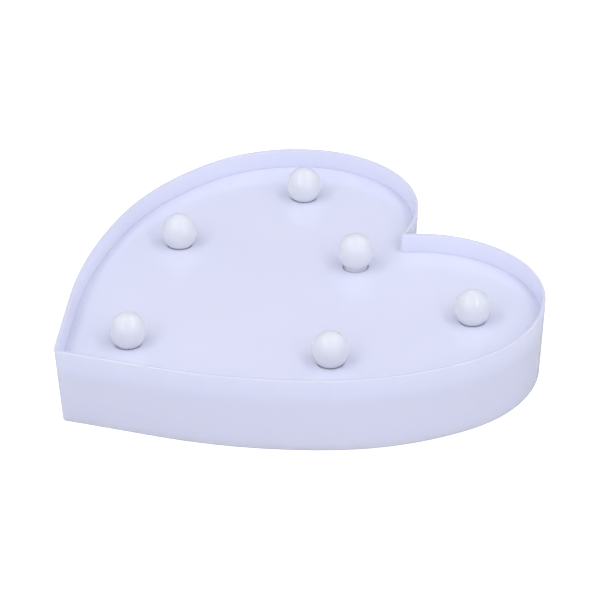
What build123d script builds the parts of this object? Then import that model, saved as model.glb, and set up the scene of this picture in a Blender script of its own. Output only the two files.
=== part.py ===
"""Heart-shaped battery marquee light: shell, bulbs, lamps, wiring, battery bay, switch and back cover.

Millimetres. The light lies on its back: +Z runs out of the face, the point of the heart is at -Y.
The origin is on the back plane, at the centre of the outline.
"""

import os
from math import atan2, degrees, hypot

from build123d import *

os.makedirs("parts", exist_ok=True)

# Heart outline at the rim, from the point up one side to the notch
tip_y = -87.71
side_heading = 38.31
side_length = 38.02
flank_radius, flank_sweep = 193.25, 19.06
shoulder_radius, shoulder_sweep = 103.43, 28.97
lobe_radius, lobe_sweep = 53.4, 44.74
crown_radius = 46.6
tip_round = 3.45

# Shell
depth = 30.0
lean_in = 1.92
wall = 1.9
panel_z = 22.96
panel_t = 2.0
recess_foot = 1.96
recess_lip = 1.15
lip_round = 0.3
foot_round = 0.4
rebate_wall = 1.1
rebate_depth = 2.1
taper = degrees(atan2(lean_in, depth))
recess_taper = degrees(atan2(recess_foot - recess_lip, depth - panel_z))

# Bulbs
globe_r, globe_half_height = 6.6, 7.1
globe_rise = 5.05
globe_wall = 0.9
neck_r = 4.3
neck_blend = 0.7
neck_bore_r = 3.4
neck_end_z = 16.5
socket_r = 5.7
socket_bore_r = 4.35
socket_end_z = 14.5
socket_mouth_r = 4.9
socket_mouth_depth = 0.8
notch_lift = 1.35
bulb_spots = {
    "tip": (0, -57.1),
    "side_right": (51.74, -4.3),
    "lobe_right": (56.1, 54.1),
    "notch": (0, 40.7),
    "lobe_left": (-56.1, 54.1),
    "side_left": (-51.74, -4.3),
}

# Lamps and their wires
led_r = 2.5
led_seat_z = 16.0
holder_r = 4.25
holder_flange_r = 5.5
holder_end_z = 11.8
lead_pitch = 2.54
lead_t = 0.5
lead_end_z = 9.0
wire_r = 0.65
wire_z = 8.0

# Back cover
cover_t = 2.0
cover_gap = 0.25
ear_x, ear_ys = 34.6, (-12.0, 6.0)
ear_z = 5.05
ear_spots = [(way * ear_x, ear_y) for way in (-1, 1) for ear_y in ear_ys]
screw_spots = [(0, -77.3), (72.4, 0), (-72.4, 0), (44, 78.3), (-44, 78.3)]
boss_r = 3.2
boss_end_z = 4.5
boss_hole_r = 1.35
boss_hole_top_z = 15.5
cup_r = 4.0
cup_top_z = 4.2
cup_seat_z = 2.5
head_pocket_r = 2.8
screw_r = 1.3
screw_head_r = 2.4
screw_head_t = 1.5
keyhole_x, keyhole_y = 38.0, 60.0
keyhole_r = 4.0
keyhole_slot_w = 4.0
keyhole_slot_run = 8.0

# Battery bay, cells lying along X
cell_r, cell_length = 7.25, 50.5
wrap_t = 0.25
nub_r, nub_h = 2.75, 1.0
cell_z = 9.6
bay_x = 30.0
bay_y0, bay_y1 = -18.8, 12.2
bay_wall = 1.5
bay_top_z = 17.2
bay_mid_y = (bay_y0 + bay_y1) / 2
cell_pitch = 15.1
upper_y = bay_mid_y + cell_pitch / 2
lower_y = bay_mid_y - cell_pitch / 2
contact_x = 29.5
contact_t = 0.4
dimple_h = 1.2
nub_x = contact_x - dimple_h - 0.05
spring_r, spring_wire_r = 3.2, 0.35

# Door
door_gap = 0.3
door_t = 1.8
hinge_y = bay_y0 - door_gap
hook_x, hook_w = 18.0, 8.0
latch_w = 11.4
latch_root_y = 7.8

# Switch
switch_y = -34.0
knob_travel = 3.0
knob_w = 3.2
switch_face_z = 4.25
ear_screw_x = 7.6

# Circuit board
board_y = 23.5
board_w, board_h, board_t = 20.0, 9.0, 1.2
board_z = 4.55
pin_x = 8.0


def lean(z):
    """How far the outer wall has come in from the rim outline at height z."""
    return lean_in * (depth - z) / depth


with BuildSketch() as heart:
    with BuildLine():
        side = PolarLine((0, tip_y), side_length, side_heading)
        flank = JernArc(side @ 1, side % 1, flank_radius, flank_sweep)
        shoulder = JernArc(flank @ 1, flank % 1, shoulder_radius, shoulder_sweep)
        lobe = JernArc(shoulder @ 1, shoulder % 1, lobe_radius, lobe_sweep)
        crown = JernArc(lobe @ 1, lobe % 1, crown_radius, Axis.Y)
        mirror(about=Plane.YZ)
    make_face()
    fillet(heart.vertices().sort_by(Axis.Y)[0], tip_round)


def outline(z, inset):
    """The heart face at height z, drawn in from the rim outline by inset."""
    with BuildSketch(Plane.XY.offset(z)) as face:
        add(heart.sketch)
        if inset:
            offset(amount=-inset)
    return face.sketch


def save(built, label):
    """Name the piece and write its STEP file."""
    built.part.label = label
    export_step(built.part, f"parts/{label}.step")


def outward(x, y):
    """Unit direction from the middle of the heart to a lamp."""
    reach = hypot(x, y)
    return x / reach, y / reach


def globe(centre, radius, half_height, mode=Mode.ADD):
    """Solid globe with an elliptical section, added to or cut from the part being built."""
    with BuildSketch(Plane(centre, x_dir=(1, 0, 0), z_dir=(0, -1, 0))) as section:
        with BuildLine():
            side = EllipticalCenterArc((0, 0), radius, half_height, start_angle=-90, arc_size=180)
            Line(side @ 1, side @ 0)
        make_face()
    revolve(section.sketch, Axis(centre, (0, 0, 1)), mode=mode)


with BuildPart() as front_shell:
    extrude(outline(depth, 0), amount=-depth, taper=taper)
    extrude(outline(panel_z, recess_foot), amount=depth - panel_z, taper=-recess_taper, mode=Mode.SUBTRACT)
    cavity_top_z = panel_z - panel_t
    cavity_inset = lean(rebate_depth) + wall
    extrude(
        outline(rebate_depth, cavity_inset),
        amount=cavity_top_z - rebate_depth,
        taper=-taper,
        mode=Mode.SUBTRACT,
    )
    extrude(outline(0, lean_in + rebate_wall), amount=rebate_depth, mode=Mode.SUBTRACT)
    with BuildSketch(Plane.XY.offset(socket_end_z)):
        with Locations(*bulb_spots.values()):
            Circle(socket_r)
    extrude(amount=cavity_top_z - socket_end_z + 0.1)
    with BuildSketch(Plane.XY.offset(boss_end_z)):
        with Locations(*screw_spots):
            Circle(boss_r)
    extrude(amount=cavity_top_z - boss_end_z + 0.1)
    with BuildSketch(Plane.XY.offset(socket_end_z)):
        with Locations(*bulb_spots.values()):
            Circle(socket_bore_r)
    extrude(amount=depth, mode=Mode.SUBTRACT)
    with BuildSketch(Plane.XY.offset(panel_z - socket_mouth_depth)):
        with Locations(*bulb_spots.values()):
            Circle(socket_mouth_r)
    extrude(amount=depth, mode=Mode.SUBTRACT)
    with BuildSketch(Plane.XY.offset(boss_end_z)):
        with Locations(*screw_spots):
            Circle(boss_hole_r)
    extrude(amount=boss_hole_top_z - boss_end_z, mode=Mode.SUBTRACT)
    fillet(front_shell.faces().sort_by(Axis.Z)[-1].edges(), lip_round)
    foot_ring = front_shell.faces().sort_by(Axis.Z)[0]
    fillet(foot_ring.outer_wire().edges(), foot_round)
save(front_shell, "front_shell")

# Globe bulb: a hollow milky globe, a little taller than wide, on a short neck that pushes into the socket
for spot, (x, y) in bulb_spots.items():
    lift = notch_lift if spot == "notch" else 0
    centre = (x, y, panel_z + globe_rise + lift)
    neck_top_z = centre[2] - globe_half_height * (1 - (neck_r / globe_r) ** 2) ** 0.5
    with BuildPart() as bulb:
        globe(centre, globe_r, globe_half_height)
        with BuildSketch(Plane.XY.offset(neck_end_z + lift)):
            with Locations((x, y)):
                Circle(neck_r)
        extrude(amount=neck_top_z - neck_end_z - lift + 0.5)
        joint_edge = bulb.edges().filter_by(lambda e: abs(e.center().Z - neck_top_z) < 0.05)
        fillet(joint_edge, neck_blend)
        globe(centre, globe_r - globe_wall, globe_half_height - globe_wall, Mode.SUBTRACT)
        with BuildSketch(Plane.XY.offset(neck_end_z + lift)):
            with Locations((x, y)):
                Circle(neck_bore_r)
        extrude(amount=centre[2] - neck_end_z - lift, mode=Mode.SUBTRACT)
    save(bulb, f"bulb_{spot}")

# Round-topped lamp with the usual flange at its foot
for spot, (x, y) in bulb_spots.items():
    with BuildPart() as led:
        with BuildSketch(Plane.XY.offset(led_seat_z + 0.05)):
            with Locations((x, y)):
                Circle(led_r + 0.4)
        extrude(amount=1.0)
        with BuildSketch(Plane.XY.offset(led_seat_z + 1.05)):
            with Locations((x, y)):
                Circle(led_r)
        extrude(amount=5.1)
        with Locations((x, y, led_seat_z + 6.15)):
            Sphere(led_r, arc_size1=0)
    save(led, f"led_{spot}")

# Plug that holds each lamp in its socket
with BuildPart() as led_holders:
    with BuildSketch(Plane.XY.offset(holder_end_z)):
        with Locations(*bulb_spots.values()):
            Circle(holder_r)
    extrude(amount=led_seat_z - holder_end_z)
    with BuildSketch(Plane.XY.offset(socket_end_z - 1.3)):
        with Locations(*bulb_spots.values()):
            Circle(holder_flange_r)
    extrude(amount=1.0)
    with BuildSketch(Plane.XY.offset(holder_end_z)):
        for x, y in bulb_spots.values():
            out_x, out_y = outward(x, y)
            for half in (-lead_pitch / 2, lead_pitch / 2):
                with Locations((x + out_x * half, y + out_y * half)):
                    Circle(0.5)
    extrude(amount=led_seat_z - holder_end_z, mode=Mode.SUBTRACT)
save(led_holders, "led_holders")

with BuildPart() as led_leads:
    with BuildSketch(Plane.XY.offset(lead_end_z)):
        for x, y in bulb_spots.values():
            out_x, out_y = outward(x, y)
            for half in (-lead_pitch / 2, lead_pitch / 2):
                with Locations((x + out_x * half, y + out_y * half)):
                    Rectangle(lead_t, lead_t)
    extrude(amount=led_seat_z - lead_end_z)
save(led_leads, "led_leads")

# Solder bead between each lead and the wire that runs beneath it
with BuildPart() as solder_beads:
    for x, y in bulb_spots.values():
        out_x, out_y = outward(x, y)
        for half in (-lead_pitch / 2, lead_pitch / 2):
            bead_x, bead_y = x + out_x * half, y + out_y * half
            with Locations((bead_x, bead_y, lead_end_z)):
                Sphere(1.1)
                with Locations((0, 0, 1)):
                    Box(lead_t + 0.04, lead_t + 0.04, 2, mode=Mode.SUBTRACT)
            run = Plane((bead_x, bead_y, wire_z), z_dir=(-out_y, out_x, 0))
            with Locations(run):
                Cylinder(wire_r + 0.06, 4, mode=Mode.SUBTRACT)
save(solder_beads, "solder_beads")


def ring_path(reach, pad_x):
    """Wire run past every lamp, reach outside the lamp centres, ending above a board pad."""
    order = ["lobe_left", "side_left", "tip", "side_right", "lobe_right", "notch"]
    points = []
    headings = []
    for spot in order:
        x, y = bulb_spots[spot]
        out_x, out_y = outward(x, y)
        points.append((x + out_x * reach, y + out_y * reach, wire_z))
        headings.append((-out_y, out_x, 0))
    points.append((pad_x - 2, board_y + 9, wire_z))
    headings.append((0.2, -1, 0))
    points.append((pad_x, board_y + 3, board_z + board_t + wire_r + 0.1))
    headings.append((0, -1, -0.3))
    return points, headings


# Red wire on the outer leads, black wire on the inner leads
for label, reach, pad_x in (("ring_wire_red", 1.27, -5.5), ("ring_wire_black", -1.27, -2.5)):
    points, headings = ring_path(reach, pad_x)
    with BuildPart() as ring_wire:
        with BuildLine():
            run = Spline(*points, tangents=headings)
        with BuildSketch(Plane(run @ 0, z_dir=run % 0)):
            Circle(wire_r)
        sweep(path=run)
    save(ring_wire, label)

# Feed wires: positive contact to switch, switch to board, negative contact to board
tab_x = bay_x + bay_wall + 3.2
tab_z = 12.0
switch_pin_z = 13.2
feeds = {
    "feed_wire_red": [
        (tab_x + 1.2, lower_y, tab_z + 0.2),
        (38.5, -17, 12.5),
        (24, -30, 13),
        (3.2, switch_y, switch_pin_z),
    ],
    "switched_wire_red": [
        (-3.2, switch_y, switch_pin_z),
        (-22, -29, 13),
        (-38, -14, 11),
        (-38, 8, 11),
        (-20, 21, 9),
        (-6.5, board_y - 2.2, board_z + board_t + wire_r + 0.1),
    ],
    "feed_wire_black": [
        (tab_x + 1.2, upper_y, tab_z + 0.2),
        (37, 13, 11),
        (22, 22, 8.5),
        (7.5, board_y + 1.5, board_z + board_t + wire_r + 0.1),
    ],
}
for label, points in feeds.items():
    with BuildPart() as feed_wire:
        with BuildLine():
            run = Spline(*points)
        with BuildSketch(Plane(run @ 0, z_dir=run % 0)):
            Circle(wire_r)
        sweep(path=run)
    save(feed_wire, label)

with BuildPart() as circuit_board:
    with BuildSketch(Plane.XY.offset(board_z)):
        with Locations((0, board_y)):
            RectangleRounded(board_w, board_h, 1)
            with Locations((-pin_x, 0), (pin_x, 0)):
                Circle(0.85, mode=Mode.SUBTRACT)
    extrude(amount=board_t)
save(circuit_board, "circuit_board")

resistor_z = board_z + board_t + 1.9
with BuildPart() as resistor:
    with Locations(Pos(1.5, board_y - 1.2, resistor_z) * Rot(0, 90, 0)):
        Cylinder(0.95, 5)
        with Locations((0, 0, -2.2), (0, 0, 2.2)):
            Cylinder(1.15, 1.2)
save(resistor, "resistor")

with BuildPart() as resistor_leads:
    for way in (-1, 1):
        start_x = 1.5 + way * 2.85
        end_x = 1.5 + way * 4.4
        with BuildLine():
            run = FilletPolyline(
                (start_x, board_y - 1.2, resistor_z),
                (end_x, board_y - 1.2, resistor_z),
                (end_x, board_y - 1.2, board_z + board_t + 0.05),
                radius=0.6,
            )
        with BuildSketch(Plane(run @ 0, z_dir=run % 0)):
            Circle(0.28)
        sweep(path=run)
save(resistor_leads, "resistor_leads")

with BuildPart() as back_cover:
    extrude(outline(0, lean_in + rebate_wall + cover_gap), amount=cover_t)
    with BuildSketch(Plane.XY.offset(cover_t - 0.1)):
        with Locations(*screw_spots):
            Circle(cup_r)
    extrude(amount=cup_top_z - cover_t + 0.1)
    with BuildSketch(Plane.XY.offset(cover_t - 0.1)):
        with Locations(*ear_spots):
            Circle(2.4)
    extrude(amount=ear_z - cover_t + 0.05)
    with BuildSketch(Plane.XY.offset(cover_t - 0.1)):
        with Locations((-ear_screw_x, switch_y), (ear_screw_x, switch_y)):
            Circle(2.2)
    extrude(amount=switch_face_z - cover_t + 0.05)
    with BuildSketch(Plane.XY.offset(cover_t - 0.1)):
        with Locations((-pin_x, board_y), (pin_x, board_y)):
            Circle(1.9)
    extrude(amount=board_z - cover_t + 0.05)
    with BuildSketch(Plane.XY.offset(board_z - 0.1)):
        with Locations((-pin_x, board_y), (pin_x, board_y)):
            Circle(0.75)
    extrude(amount=board_t + 0.8)
    # screw heads, battery opening, keyholes, switch slot in its dished pocket
    with BuildSketch():
        with Locations(*screw_spots):
            Circle(head_pocket_r)
    extrude(amount=cup_seat_z, mode=Mode.SUBTRACT)
    with BuildSketch():
        with Locations(*screw_spots):
            Circle(screw_r + 0.3)
    extrude(amount=cup_top_z, mode=Mode.SUBTRACT)
    with BuildSketch():
        with Locations((0, bay_mid_y)):
            Rectangle(2 * bay_x, bay_y1 - bay_y0 + 2 * door_gap)
        with Locations((-keyhole_x, keyhole_y), (keyhole_x, keyhole_y)):
            Circle(keyhole_r)
            with Locations((0, keyhole_slot_run / 2)):
                SlotCenterToCenter(keyhole_slot_run, keyhole_slot_w, rotation=90)
        with Locations((0, switch_y)):
            RectangleRounded(knob_w + knob_travel + 0.8, knob_w + 0.7, 0.5)
    extrude(amount=cover_t, mode=Mode.SUBTRACT)
    with BuildSketch():
        with Locations((0, switch_y)):
            SlotOverall(17, 9)
    extrude(amount=1.0, mode=Mode.SUBTRACT)
    with BuildSketch():
        with Locations((0, bay_y1 + door_gap)):
            Circle(6)
    extrude(amount=1.1, mode=Mode.SUBTRACT)
    with BuildSketch(Plane.XY.offset(1.0)):
        with Locations(*ear_spots):
            Circle(0.95)
        with Locations((-ear_screw_x, switch_y), (ear_screw_x, switch_y)):
            Circle(0.95)
    extrude(amount=ear_z, mode=Mode.SUBTRACT)
save(back_cover, "back_cover")

# Pan-head screws from below, through the cover cups into the shell bosses
with BuildPart() as cover_screws:
    for x, y in screw_spots:
        with BuildSketch(Plane.XY.offset(cup_seat_z - screw_head_t - 0.05)):
            with Locations((x, y)):
                Circle(screw_head_r)
        extrude(amount=screw_head_t)
        with BuildSketch(Plane.XY.offset(cup_seat_z - 0.05)):
            with Locations((x, y)):
                Circle(screw_r)
        extrude(amount=9.5)
        with BuildSketch(Plane.XY.offset(cup_seat_z - screw_head_t - 0.05)):
            with Locations((x, y)):
                Rectangle(2.8, 0.6)
                Rectangle(0.6, 2.8)
        extrude(amount=0.8, mode=Mode.SUBTRACT)
save(cover_screws, "cover_screws")

with BuildPart() as battery_tray:
    with BuildSketch(Plane.XY.offset(cover_t + 0.05)):
        with Locations((0, bay_mid_y)):
            RectangleRounded(2 * (bay_x + bay_wall), bay_y1 - bay_y0 + 2 * bay_wall, 1.5)
    extrude(amount=bay_top_z + 1.4 - cover_t - 0.05)
    with BuildSketch(Plane.XY.offset(ear_z)):
        for way in (-1, 1):
            for ear_y in ear_ys:
                with Locations((way * (ear_x - 1), ear_y)):
                    RectangleRounded(8, 6, 2.9)
    extrude(amount=1.5)
    with BuildSketch(Plane.XY.offset(cover_t)):
        with Locations((0, bay_mid_y)):
            Rectangle(2 * bay_x, bay_y1 - bay_y0)
    extrude(amount=bay_top_z - cover_t, mode=Mode.SUBTRACT)
    # ridge between the cells
    with BuildSketch(Plane.XY.offset(13)):
        with Locations((0, bay_mid_y)):
            Rectangle(44, 1)
    extrude(amount=bay_top_z - 13 + 0.1)
    with BuildSketch(Plane.XY.offset(ear_z)):
        with Locations(*ear_spots):
            Circle(1.4)
    extrude(amount=1.5, mode=Mode.SUBTRACT)
    # windows for the door's hooks and latch, slots for the contact tabs
    with Locations((-hook_x, bay_y0 - 0.75, 4.2), (hook_x, bay_y0 - 0.75, 4.2)):
        Box(hook_w + 1.2, 2.5, 4.5, mode=Mode.SUBTRACT)
    with Locations((0, bay_y1 + 0.75, 5)):
        Box(latch_w + 1.2, 2.5, 6.2, mode=Mode.SUBTRACT)
    with Locations((bay_x + 0.75, lower_y, tab_z + 0.2), (bay_x + 0.75, upper_y, tab_z + 0.2)):
        Box(2.5, 4, 1.4, mode=Mode.SUBTRACT)
save(battery_tray, "battery_tray")

with BuildPart() as tray_screws:
    for x, y in ear_spots:
        with Locations((x, y, ear_z + 1.55)):
            Cylinder(1.8, 1.2, align=(Align.CENTER, Align.CENTER, Align.MIN))
            Cylinder(0.9, 5.2, align=(Align.CENTER, Align.CENTER, Align.MAX))
            with Locations((0, 0, 1.0)):
                Box(2.2, 0.5, 0.6, mode=Mode.SUBTRACT)
                Box(0.5, 2.2, 0.6, mode=Mode.SUBTRACT)
save(tray_screws, "tray_screws")

with BuildPart() as battery_door:
    door_w = 2 * (bay_x - door_gap)
    with BuildSketch():
        with Locations((0, bay_mid_y)):
            RectangleRounded(door_w, bay_y1 - bay_y0, 0.8)
    extrude(amount=door_t)
    with BuildSketch():
        with Locations((0, latch_root_y)):
            Rectangle(latch_w + 0.6, 10, align=(Align.CENTER, Align.MIN))
    extrude(amount=door_t, mode=Mode.SUBTRACT)
    # hooks that reach over the inside of the cover
    for way in (-1, 1):
        with Locations((way * hook_x, bay_y0 + 0.2, door_t - 0.1)):
            Box(hook_w, 1.3, 1.75, align=(Align.CENTER, Align.MIN, Align.MIN))
        with Locations((way * hook_x, hinge_y - 1.9, cover_t + 0.35)):
            Box(hook_w, 3.4, 1.1, align=(Align.CENTER, Align.MIN, Align.MIN))
    # thumb pocket with grip ridges
    with BuildSketch():
        with Locations((0, latch_root_y - 6)):
            SlotOverall(15, 8)
    extrude(amount=0.6, mode=Mode.SUBTRACT)
    with Locations(*[(0, latch_root_y - 6 + step, 0.4) for step in (-2, 0, 2)]):
        Box(9, 0.7, 0.6)
save(battery_door, "battery_door")

# Sprung tongue at the free edge of the door, folded up and over the cover's edge
with BuildPart() as battery_door_latch:
    with BuildSketch(Plane.YZ) as latch_side:
        with BuildLine():
            Polyline(
                (latch_root_y + 0.05, 0),
                (bay_y1 - 0.1, 0),
                (bay_y1 - 0.1, cover_t + 0.3),
                (bay_y1 + 1.0, cover_t + 0.3),
                (bay_y1 - 0.1, 4.4),
                (bay_y1 - 0.1, 5.6),
                (bay_y1 - 1.1, 5.6),
                (bay_y1 - 1.1, 1.3),
                (latch_root_y + 0.05, 1.3),
                close=True,
            )
        make_face()
    extrude(amount=latch_w / 2, both=True)
save(battery_door_latch, "battery_door_latch")

# Two cells, head to tail: (name, row, way the positive end faces)
cells = (("upper", upper_y, -1), ("lower", lower_y, 1))
for row, y, way in cells:
    shoulder_x = nub_x - nub_h
    foot_x = nub_x - cell_length
    with BuildPart() as cell_can:
        with Locations(Pos(way * (shoulder_x + foot_x) / 2, y, cell_z) * Rot(0, 90, 0)):
            Cylinder(cell_r - wrap_t - 0.02, shoulder_x - foot_x)
        with Locations(Pos(way * (nub_x - nub_h / 2), y, cell_z) * Rot(0, 90, 0)):
            Cylinder(nub_r, nub_h)
    save(cell_can, f"cell_{row}_can")
    with BuildPart() as cell_wrap:
        with Locations(Pos(way * (shoulder_x + foot_x) / 2, y, cell_z) * Rot(0, 90, 0)):
            Cylinder(cell_r, shoulder_x - foot_x - 0.6)
            Cylinder(cell_r - wrap_t, shoulder_x - foot_x, mode=Mode.SUBTRACT)
    save(cell_wrap, f"cell_{row}_wrap")

with BuildPart() as contact_bridge:
    with Locations((-contact_x, bay_mid_y, 9.5)):
        Box(contact_t, 28, 11, align=(Align.MAX, Align.CENTER, Align.CENTER))
    with Locations(Pos(-contact_x, upper_y, cell_z) * Rot(0, 90, 0)):
        Cylinder(3, dimple_h, align=(Align.CENTER, Align.CENTER, Align.MIN))
save(contact_bridge, "contact_bridge")

for label, y in (("contact_positive", lower_y), ("contact_negative", upper_y)):
    with BuildPart() as contact:
        with Locations((contact_x, y, 9.5)):
            Box(contact_t, 11, 11, align=(Align.MIN, Align.CENTER, Align.CENTER))
        with Locations((contact_x, y, tab_z)):
            Box(tab_x - contact_x, 3, contact_t, align=(Align.MIN, Align.CENTER, Align.MIN))
        if label == "contact_positive":
            with Locations(Pos(contact_x, y, cell_z) * Rot(0, -90, 0)):
                Cylinder(3, dimple_h, align=(Align.CENTER, Align.CENTER, Align.MIN))
    save(contact, label)

# Springs press on the flat ends of the cells
for row, y, way in cells:
    coil_length = contact_x - (cell_length - nub_x) - 0.8
    with BuildPart() as spring:
        with BuildLine():
            start = Vector(-way * (cell_length - nub_x + 0.4), y, cell_z)
            coil = Helix(1.6, coil_length, spring_r, center=start, direction=(-way, 0, 0))
        with BuildSketch(Plane(coil @ 0, z_dir=coil % 0)):
            Circle(spring_wire_r)
        sweep(path=coil, is_frenet=True)
    save(spring, f"spring_{row}")

with BuildPart() as switch_frame:
    with BuildSketch(Plane.XY.offset(switch_face_z)):
        with Locations((0, switch_y)):
            SlotOverall(20, 6)
            RectangleRounded(knob_w + knob_travel + 0.8, knob_w + 0.5, 0.4, mode=Mode.SUBTRACT)
            with Locations((-ear_screw_x, 0), (ear_screw_x, 0)):
                Circle(1.1, mode=Mode.SUBTRACT)
    extrude(amount=0.5)
    with BuildSketch(Plane.XY.offset(switch_face_z + 0.5)):
        with Locations((0, switch_y)):
            Rectangle(11, 6)
            Rectangle(10.2, 5.2, mode=Mode.SUBTRACT)
    extrude(amount=4.2)
save(switch_frame, "switch_frame")

with BuildPart() as switch_base:
    with BuildSketch(Plane.XY.offset(switch_face_z + 4.75)):
        with Locations((0, switch_y)):
            Rectangle(11, 6)
            with Locations((-3.2, 0), (0, 0), (3.2, 0)):
                Circle(0.5, mode=Mode.SUBTRACT)
    extrude(amount=1.2)
save(switch_base, "switch_base")

with BuildPart() as switch_pins:
    with BuildSketch(Plane.XY.offset(switch_face_z + 4.0)):
        with Locations((-3.2, switch_y), (0, switch_y), (3.2, switch_y)):
            Circle(0.42)
    extrude(amount=4.2)
save(switch_pins, "switch_pins")

with BuildPart() as switch_knob:
    with Locations((-knob_travel / 2, switch_y, 0.35)):
        Box(knob_w, knob_w, 5, align=(Align.CENTER, Align.CENTER, Align.MIN))
        with Locations((0, 0, 4.7)):
            Box(6, 4.6, 2.2, align=(Align.CENTER, Align.CENTER, Align.MIN))
        with Locations((-0.9, 0, 0), (0, 0, 0), (0.9, 0, 0)):
            Box(0.35, knob_w, 0.6, mode=Mode.SUBTRACT)
save(switch_knob, "switch_knob")

with BuildPart() as switch_screws:
    for way in (-1, 1):
        with Locations((way * ear_screw_x, switch_y, switch_face_z + 0.55)):
            Cylinder(1.7, 1.1, align=(Align.CENTER, Align.CENTER, Align.MIN))
            Cylinder(0.9, 3.4, align=(Align.CENTER, Align.CENTER, Align.MAX))
            with Locations((0, 0, 0.9)):
                Box(2, 0.5, 0.6, mode=Mode.SUBTRACT)
                Box(0.5, 2, 0.6, mode=Mode.SUBTRACT)
save(switch_screws, "switch_screws")
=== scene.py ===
"""Looks for the heart-shaped marquee light: materials, studio, camera. Metres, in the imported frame."""

import math

import bmesh
import bpy
from mathutils import Matrix, Vector


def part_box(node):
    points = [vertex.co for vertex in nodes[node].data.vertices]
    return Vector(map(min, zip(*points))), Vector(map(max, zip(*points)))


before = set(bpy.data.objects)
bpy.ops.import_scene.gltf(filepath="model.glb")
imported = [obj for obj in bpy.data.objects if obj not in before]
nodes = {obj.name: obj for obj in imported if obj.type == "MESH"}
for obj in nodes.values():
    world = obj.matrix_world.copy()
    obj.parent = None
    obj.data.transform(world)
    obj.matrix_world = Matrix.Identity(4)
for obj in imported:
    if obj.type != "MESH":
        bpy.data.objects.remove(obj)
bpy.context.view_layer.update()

# Studio numbers: sky radiance overhead, from the camera's side, from its right and left, and all round
SKY_ABOVE = 0.50
SKY_FRONT = 0.75
SKY_RIGHT = 0.50
SKY_LEFT = 0.42
SKY_ROUND = 0.14
LIGHT_TINT = (0.90, 0.92, 1.0)
STRIP_RADIANCE = 3.4
STRIP_WIDTH = 0.15
# Ends of the right-hand strip lamp: distance to the side, towards the camera, and up
STRIP_LOW_END = (0.61, 0.99, 0.58)
STRIP_HIGH_END = (0.42, -0.33, 0.96)
FLOOR_GLOW = 0.75
FLOOR_COLOUR = 0.55
FLOOR_ROUGHNESS = 0.9
FLOOR_SIZE = 12.0
# how far above the ground a face of the underside may lie and still count as resting on it
UNDERSIDE_SLACK = 0.00002

# Underside of the face panel; how much paler the wall above it is painted, as painted light standing for
# light coming through it; and how much darker the rim's top edge is painted, as painted shade
PANEL_UNDERSIDE = 0.0209
UPPER_WALL_PAINTED_LIGHT_GAIN = 1.015
RIM_EDGE_PAINTED_SHADE_GAIN = 0.84

# Camera
CAM_AZIMUTH = 57.735
CAM_ELEVATION = 30.331
CAM_ROLL = -0.990
CAM_PLACE = (0.9621, -0.5905, 0.6820)
CAM_LENS = 214.36
CAM_SHIFT = (-0.0034, 0.0003)
CAM_SENSOR = 36
CAM_NEAR, CAM_FAR = 0.05, 50


class Nodes:
    """A short way to build one material's node tree."""

    def __init__(self, name):
        self.material = bpy.data.materials.new(name)
        self.material.use_nodes = True
        self.tree = self.material.node_tree
        self.bsdf = self.tree.nodes["Principled BSDF"]
        self.coords = self.add("ShaderNodeTexCoord").outputs["Object"]

    def add(self, kind, **settings):
        node = self.tree.nodes.new(kind)
        for key, value in settings.items():
            setattr(node, key, value)
        return node

    def link(self, source, target):
        self.tree.links.new(source, target)

    def stretched(self, scale):
        mapping = self.add("ShaderNodeMapping")
        mapping.inputs["Scale"].default_value = scale
        self.link(self.coords, mapping.inputs["Vector"])
        return mapping.outputs["Vector"]

    def noise(self, scale, detail=2.0, roughness=0.5, vector=None):
        node = self.add("ShaderNodeTexNoise")
        node.inputs["Scale"].default_value = scale
        node.inputs["Detail"].default_value = detail
        node.inputs["Roughness"].default_value = roughness
        self.link(vector or self.coords, node.inputs["Vector"])
        return node.outputs["Fac"]

    def spread(self, value, low, high, from_low=0.15, from_high=0.85):
        node = self.add("ShaderNodeMapRange")
        node.inputs["From Min"].default_value = from_low
        node.inputs["From Max"].default_value = from_high
        node.inputs["To Min"].default_value = low
        node.inputs["To Max"].default_value = high
        self.link(value, node.inputs["Value"])
        return node.outputs["Result"]

    def ramp(self, value, stops):
        node = self.add("ShaderNodeValToRGB")
        band = node.color_ramp
        while len(band.elements) < len(stops):
            band.elements.new(0.5)
        for element, (place, colour) in zip(band.elements, stops):
            element.position = place
            element.color = (*colour, 1.0)
        self.link(value, node.inputs["Fac"])
        return node.outputs["Color"]

    def axis(self, name):
        node = self.add("ShaderNodeSeparateXYZ")
        self.link(self.coords, node.inputs[0])
        return node.outputs[name]

    def mix(self, factor, a, b, blend="MIX"):
        node = self.add("ShaderNodeMix", data_type="RGBA", blend_type=blend)
        for socket, value in (
            (node.inputs["Factor"], factor),
            (node.inputs["A"], a),
            (node.inputs["B"], b),
        ):
            if isinstance(value, bpy.types.NodeSocket):
                self.link(value, socket)
            elif isinstance(value, tuple):
                socket.default_value = (*value, 1.0)
            else:
                socket.default_value = value
        return node.outputs["Result"]

    def bump(self, height, strength, distance, below=None):
        node = self.add("ShaderNodeBump")
        node.inputs["Strength"].default_value = strength
        node.inputs["Distance"].default_value = distance
        self.link(height, node.inputs["Height"])
        if below is not None:
            self.link(below, node.inputs["Normal"])
        return node.outputs["Normal"]

    def finish(self, colour=None, roughness=None, normal=None, **fixed):
        for value, socket in ((colour, "Base Color"), (roughness, "Roughness"), (normal, "Normal")):
            if isinstance(value, bpy.types.NodeSocket):
                self.link(value, self.bsdf.inputs[socket])
            elif value is not None:
                plain = (*value, 1.0) if isinstance(value, tuple) else value
                self.bsdf.inputs[socket].default_value = plain
        for key, value in fixed.items():
            self.bsdf.inputs[key.replace("_", " ")].default_value = value
        return self.material


def tinted(colour, gain):
    return tuple(min(c * gain, 1.0) for c in colour)


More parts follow.
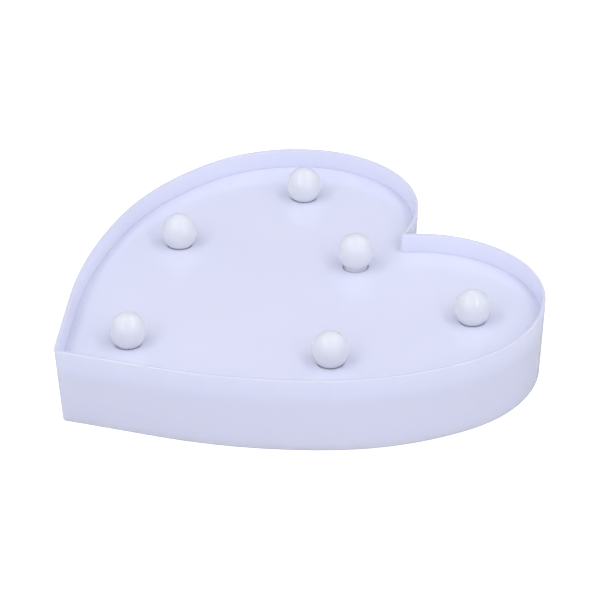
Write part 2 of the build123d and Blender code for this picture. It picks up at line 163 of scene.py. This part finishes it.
def shell_plastic():
    """Glossy white moulding, slightly see-through, with faint flow marks."""
    n = Nodes("shell_plastic")
    base = (0.745, 0.752, 0.875)
    cloud = n.noise(16, 1)
    colour = n.ramp(cloud, [(0.1, tinted(base, 0.98)), (0.9, tinted(base, 1.02))])
    # painted light: the wall above the face panel is painted paler, standing for light coming through it;
    # painted shade: the rim's top edge is painted darker than the faces
    height = n.axis("Z")
    upper_wall_painted_light = n.spread(height, 0.0, 1.0, PANEL_UNDERSIDE - 0.0008, PANEL_UNDERSIDE + 0.0008)
    colour = n.mix(upper_wall_painted_light, colour, n.mix(1.0, colour, (UPPER_WALL_PAINTED_LIGHT_GAIN,) * 3, "MULTIPLY"))
    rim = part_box("front_shell")[1][2]
    rim_edge_painted_shade = n.spread(height, 0.0, 1.0, rim - 0.0006, rim - 0.0002)
    colour = n.mix(rim_edge_painted_shade, colour, n.mix(1.0, colour, (RIM_EDGE_PAINTED_SHADE_GAIN,) * 3, "MULTIPLY"))
    rough = n.spread(n.noise(14, 1), 0.09, 0.13)
    flow = n.bump(n.noise(1.0, 0, vector=n.stretched((22, 34, 50))), 0.05, 0.0006)
    grain = n.bump(n.noise(2600, 2), 0.08, 0.00004, flow)
    return n.finish(
        colour, rough, grain,
        Subsurface_Weight=1.0, Subsurface_Radius=(1.0, 1.0, 1.0), Subsurface_Scale=0.0020, IOR=1.46,
    )


def bulb_plastic():
    """Milky globe caps: smoother and a little warmer than the shell."""
    n = Nodes("bulb_plastic")
    base = (0.80, 0.805, 0.865)
    colour = n.ramp(n.noise(180, 3), [(0.1, tinted(base, 0.98)), (0.9, tinted(base, 1.02))])
    rough = n.spread(n.noise(240, 3), 0.09, 0.14)
    skin = n.bump(n.noise(420, 2), 0.05, 0.0002)
    return n.finish(
        colour, rough, skin,
        Subsurface_Weight=1.0, Subsurface_Radius=(1.0, 1.0, 1.0), Subsurface_Scale=0.0018, IOR=1.49,
    )


def satin_plastic(name, base, pitch=1500, depth=0.00006):
    """Fine spark-eroded moulding."""
    n = Nodes(name)
    colour = n.ramp(n.noise(30, 3), [(0.3, tinted(base, 0.975)), (0.7, tinted(base, 1.02))])
    rough = n.spread(n.noise(90, 4), 0.42, 0.55)
    grain = n.bump(n.noise(pitch, 3, 0.6), 0.5, depth)
    return n.finish(colour, rough, grain, IOR=1.49)


def metal(name, base, low, high, stretch=(400, 400, 60)):
    n = Nodes(name)
    streak = n.noise(1.0, 4, 0.6, n.stretched(stretch))
    colour = n.ramp(streak, [(0.25, tinted(base, 0.86)), (0.75, tinted(base, 1.08))])
    rough = n.spread(n.noise(700, 3), low, high)
    return n.finish(colour, rough, n.bump(streak, 0.15, 0.00002), Metallic=1.0)


def insulation(name, base):
    n = Nodes(name)
    colour = n.ramp(n.noise(260, 3), [(0.3, tinted(base, 0.8)), (0.7, tinted(base, 1.15))])
    rough = n.spread(n.noise(500, 2), 0.30, 0.45)
    return n.finish(colour, rough, n.bump(n.noise(900, 2), 0.12, 0.00004), IOR=1.5)


def laminate(name, base, dark):
    n = Nodes(name)
    fibre = n.noise(1.0, 5, 0.65, n.stretched((300, 1800, 300)))
    colour = n.ramp(fibre, [(0.3, dark), (0.7, base)])
    return n.finish(colour, n.spread(n.noise(500, 2), 0.4, 0.6), n.bump(fibre, 0.2, 0.00004))


def banded(name, axis, spots, background, pitch=300):
    """A body with painted bands across it; spots are (from, to, colour) in metres along the axis."""
    n = Nodes(name)
    place = n.axis(axis)
    tone = n.ramp(n.noise(pitch, 3), [(0.3, tinted(background, 0.92)), (0.7, tinted(background, 1.05))])
    for start, end, colour in spots:
        inside = n.add("ShaderNodeMath", operation="COMPARE")
        inside.inputs[1].default_value = (start + end) / 2
        inside.inputs[2].default_value = abs(end - start) / 2
        n.link(place, inside.inputs[0])
        tone = n.mix(inside.outputs[0], tone, colour)
    return n.finish(tone, n.spread(n.noise(600, 2), 0.22, 0.34), n.bump(n.noise(500, 2), 0.08, 0.00003))


def lens_epoxy():
    n = Nodes("led_epoxy")
    colour = n.ramp(n.noise(500, 2), [(0.3, (0.93, 0.94, 0.95)), (0.7, (0.98, 0.98, 0.97))])
    return n.finish(colour, n.spread(n.noise(400, 2), 0.03, 0.08), Transmission_Weight=0.85, IOR=1.53)


def dress(material, *names):
    for name in names:
        for place in nodes[name].material_slots:
            place.material = material


spots = ("tip", "side_right", "lobe_right", "notch", "lobe_left", "side_left")
dress(shell_plastic(), "front_shell")
dress(bulb_plastic(), *[f"bulb_{spot}" for spot in spots])
dress(satin_plastic("cover_plastic", (0.66, 0.675, 0.83)), "back_cover")
dress(satin_plastic("door_plastic", (0.64, 0.655, 0.81)), "battery_door", "battery_door_latch")
dress(satin_plastic("tray_plastic", (0.62, 0.635, 0.78)), "battery_tray")
dress(satin_plastic("holder_plastic", (0.70, 0.71, 0.76)), "led_holders")
dress(satin_plastic("knob_plastic", (0.02, 0.02, 0.022), 2200, 0.00008), "switch_knob")
dress(lens_epoxy(), *[f"led_{spot}" for spot in spots])
dress(metal("tinned_wire", (0.70, 0.70, 0.71), 0.18, 0.30), "led_leads", "resistor_leads", "switch_pins")
dress(metal("solder", (0.60, 0.61, 0.63), 0.28, 0.45), "solder_beads")
dress(metal("zinc_screw", (0.66, 0.67, 0.70), 0.22, 0.36), "cover_screws", "tray_screws", "switch_screws")
dress(
    metal("nickel_strip", (0.72, 0.70, 0.66), 0.16, 0.30, (60, 900, 60)),
    "contact_bridge", "contact_positive", "contact_negative",
)
dress(metal("spring_wire", (0.68, 0.68, 0.67), 0.15, 0.28), "spring_upper", "spring_lower")
dress(
    metal("cell_steel", (0.66, 0.66, 0.67), 0.20, 0.34, (60, 700, 700)),
    "cell_upper_can", "cell_lower_can",
)
dress(metal("switch_steel", (0.62, 0.62, 0.61), 0.25, 0.40), "switch_frame")
dress(
    insulation("red_insulation", (0.50, 0.02, 0.015)),
    "ring_wire_red", "feed_wire_red", "switched_wire_red",
)
dress(insulation("black_insulation", (0.012, 0.012, 0.014)), "ring_wire_black", "feed_wire_black")
dress(laminate("board_laminate", (0.36, 0.24, 0.09), (0.25, 0.16, 0.05)), "circuit_board")
dress(laminate("switch_laminate", (0.16, 0.07, 0.03), (0.10, 0.045, 0.02)), "switch_base")

# Brown, black, red and gold
RESISTOR_BANDS = ((0.16, 0.05, 0.02), (0.02, 0.02, 0.02), (0.25, 0.04, 0.02), (0.45, 0.27, 0.04))
low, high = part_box("resistor")
step = (high[0] - low[0]) / 12
dress(
    banded(
        "resistor_body", "X",
        [(low[0] + step * (2 + 2.2 * k), low[0] + step * (3 + 2.2 * k), colour)
         for k, colour in enumerate(RESISTOR_BANDS)],
        (0.50, 0.36, 0.19), 900,
    ),
    "resistor",
)
for row, way in (("upper", -1), ("lower", 1)):
    low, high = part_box(f"cell_{row}_wrap")
    ends = (low[0], high[0]) if way > 0 else (high[0], low[0])
    run = ends[1] - ends[0]
    dress(
        banded(
            f"cell_wrap_{row}", "X",
            [(ends[0] + run * 0.72, ends[1] + run * 0.02, (0.42, 0.30, 0.12)),
             (ends[0] + run * 0.695, ends[0] + run * 0.712, (0.60, 0.60, 0.62))],
            (0.025, 0.035, 0.06), 200,
        ),
        f"cell_{row}_wrap",
    )

# Floor, sky and lights
azimuth = math.radians(CAM_AZIMUTH)
toward = Vector((math.sin(azimuth), -math.cos(azimuth), 0))
aside = Vector((math.cos(azimuth), math.sin(azimuth), 0))


def cover_outline():
    """Outer edge of the back cover's flat underside, as points in order round the heart."""
    mesh = nodes["back_cover"].data
    spot = {v.index: (round(v.co.x, 6), round(v.co.y, 6)) for v in mesh.vertices}
    uses = {}
    for face in mesh.polygons:
        if face.normal.z < -0.99 and face.center.z < UNDERSIDE_SLACK:
            for ends in face.edge_keys:
                edge = frozenset(spot[end] for end in ends)
                uses[edge] = uses.get(edge, 0) + 1
    beside = {}
    for edge in (tuple(edge) for edge, count in uses.items() if count == 1 and len(edge) == 2):
        for here, there in (edge, edge[::-1]):
            beside.setdefault(here, []).append(there)
    # start at the outermost point and take the outermost turn wherever several edges meet
    start = max(beside)
    loop, backward = [start], 0.0
    for _ in range(2 * len(beside)):
        here = loop[-1]
        turns = []
        for there in beside[here]:
            heading = math.atan2(there[1] - here[1], there[0] - here[0])
            turns.append(((heading - backward) % math.tau or math.tau, there))
        ahead = min(turns)[1]
        if ahead == start:
            return loop
        backward = math.atan2(here[1] - ahead[1], here[0] - ahead[0])
        loop.append(ahead)
    raise RuntimeError("the outline of the back cover doesn't close")


# the floor is open under the object, so that the back can be looked at from below
reach = FLOOR_SIZE / 2
sheet = bmesh.new()
for loop in (cover_outline(), [(-reach, -reach), (reach, -reach), (reach, reach), (-reach, reach)]):
    corners = [sheet.verts.new((x, y, 0)) for x, y in loop]
    for here, there in zip(corners, corners[1:] + corners[:1]):
        sheet.edges.new((here, there))
bmesh.ops.triangle_fill(sheet, use_beauty=True, edges=sheet.edges, normal=(0, 0, 1))
floor_mesh = bpy.data.meshes.new("floor")
sheet.to_mesh(floor_mesh)
sheet.free()
floor = bpy.data.objects.new("floor", floor_mesh)
bpy.context.collection.objects.link(floor)
n = Nodes("floor_paper")
floor_tone = n.ramp(n.noise(3, 3), [(0.3, (FLOOR_COLOUR,) * 3), (0.7, (FLOOR_COLOUR + 0.01,) * 3)])
floor.data.materials.append(
    n.finish(floor_tone, FLOOR_ROUGHNESS, None, Emission_Color=(1, 1, 1, 1), Emission_Strength=FLOOR_GLOW)
)
# the floor's glow whitens the floor itself and doesn't light the object from below
lit_by_floor = bpy.data.collections.new("lit_by_floor")
lit_by_floor.objects.link(floor)
floor.light_linking.receiver_collection = lit_by_floor

world = bpy.data.worlds.new("studio")
bpy.context.scene.world = world
world.use_nodes = True
tree = world.node_tree
background = tree.nodes["Background"]
direction = tree.nodes.new("ShaderNodeTexCoord")
total = None
for way, radiance in (
    (Vector((0, 0, 1)), SKY_ABOVE),
    (toward, SKY_FRONT),
    (aside, SKY_RIGHT),
    (-aside, SKY_LEFT),
    (None, SKY_ROUND),
):
    lobe = tree.nodes.new("ShaderNodeMath")
    lobe.operation = "MAXIMUM"
    lobe.inputs[0].default_value = radiance
    lobe.inputs[1].default_value = 0.0
    if way is not None:
        facing = tree.nodes.new("ShaderNodeVectorMath")
        facing.operation = "DOT_PRODUCT"
        facing.inputs[1].default_value = way * radiance
        tree.links.new(direction.outputs["Generated"], facing.inputs[0])
        tree.links.new(facing.outputs["Value"], lobe.inputs[0])
    if total is None:
        total = lobe.outputs[0]
    else:
        both = tree.nodes.new("ShaderNodeMath")
        both.operation = "ADD"
        tree.links.new(total, both.inputs[0])
        tree.links.new(lobe.outputs[0], both.inputs[1])
        total = both.outputs[0]
tree.links.new(total, background.inputs["Strength"])
background.inputs["Color"].default_value = (*LIGHT_TINT, 1.0)

for name, way in (("strip_left", -1), ("strip_right", 1)):
    low_end, high_end = (
        aside * way * side + toward * near + Vector((0, 0, up))
        for side, near, up in (STRIP_LOW_END, STRIP_HIGH_END)
    )
    length = (high_end - low_end).length
    lamp = bpy.data.lights.new(name, "AREA")
    lamp.shape = "RECTANGLE"
    lamp.size, lamp.size_y = STRIP_WIDTH, length
    lamp.energy = STRIP_RADIANCE * math.pi * STRIP_WIDTH * length
    lamp.color = LIGHT_TINT
    strip = bpy.data.objects.new(name, lamp)
    bpy.context.collection.objects.link(strip)
    middle = (low_end + high_end) / 2
    along = (high_end - low_end).normalized()
    away = (middle - along * middle.dot(along)).normalized()
    turn = Matrix((along.cross(away), along, away)).transposed().to_4x4()
    strip.matrix_world = Matrix.Translation(middle) @ turn

# Camera, from the same bearing as the lights
elevation, roll = math.radians(CAM_ELEVATION), math.radians(CAM_ROLL)
back = toward * math.cos(elevation) + Vector((0, 0, math.sin(elevation)))
upright = back.cross(aside)
right = aside * math.cos(roll) + upright * math.sin(roll)
up = upright * math.cos(roll) - aside * math.sin(roll)
camera = bpy.data.cameras.new("camera")
camera.lens = CAM_LENS
camera.sensor_width = CAM_SENSOR
camera.shift_x, camera.shift_y = CAM_SHIFT
camera.clip_start, camera.clip_end = CAM_NEAR, CAM_FAR
eye = bpy.data.objects.new("camera", camera)
bpy.context.collection.objects.link(eye)
eye.matrix_world = Matrix.Translation(CAM_PLACE) @ Matrix((right, up, back)).transposed().to_4x4()
bpy.context.scene.camera = eye
bpy.context.scene.view_settings.view_transform = "Standard"
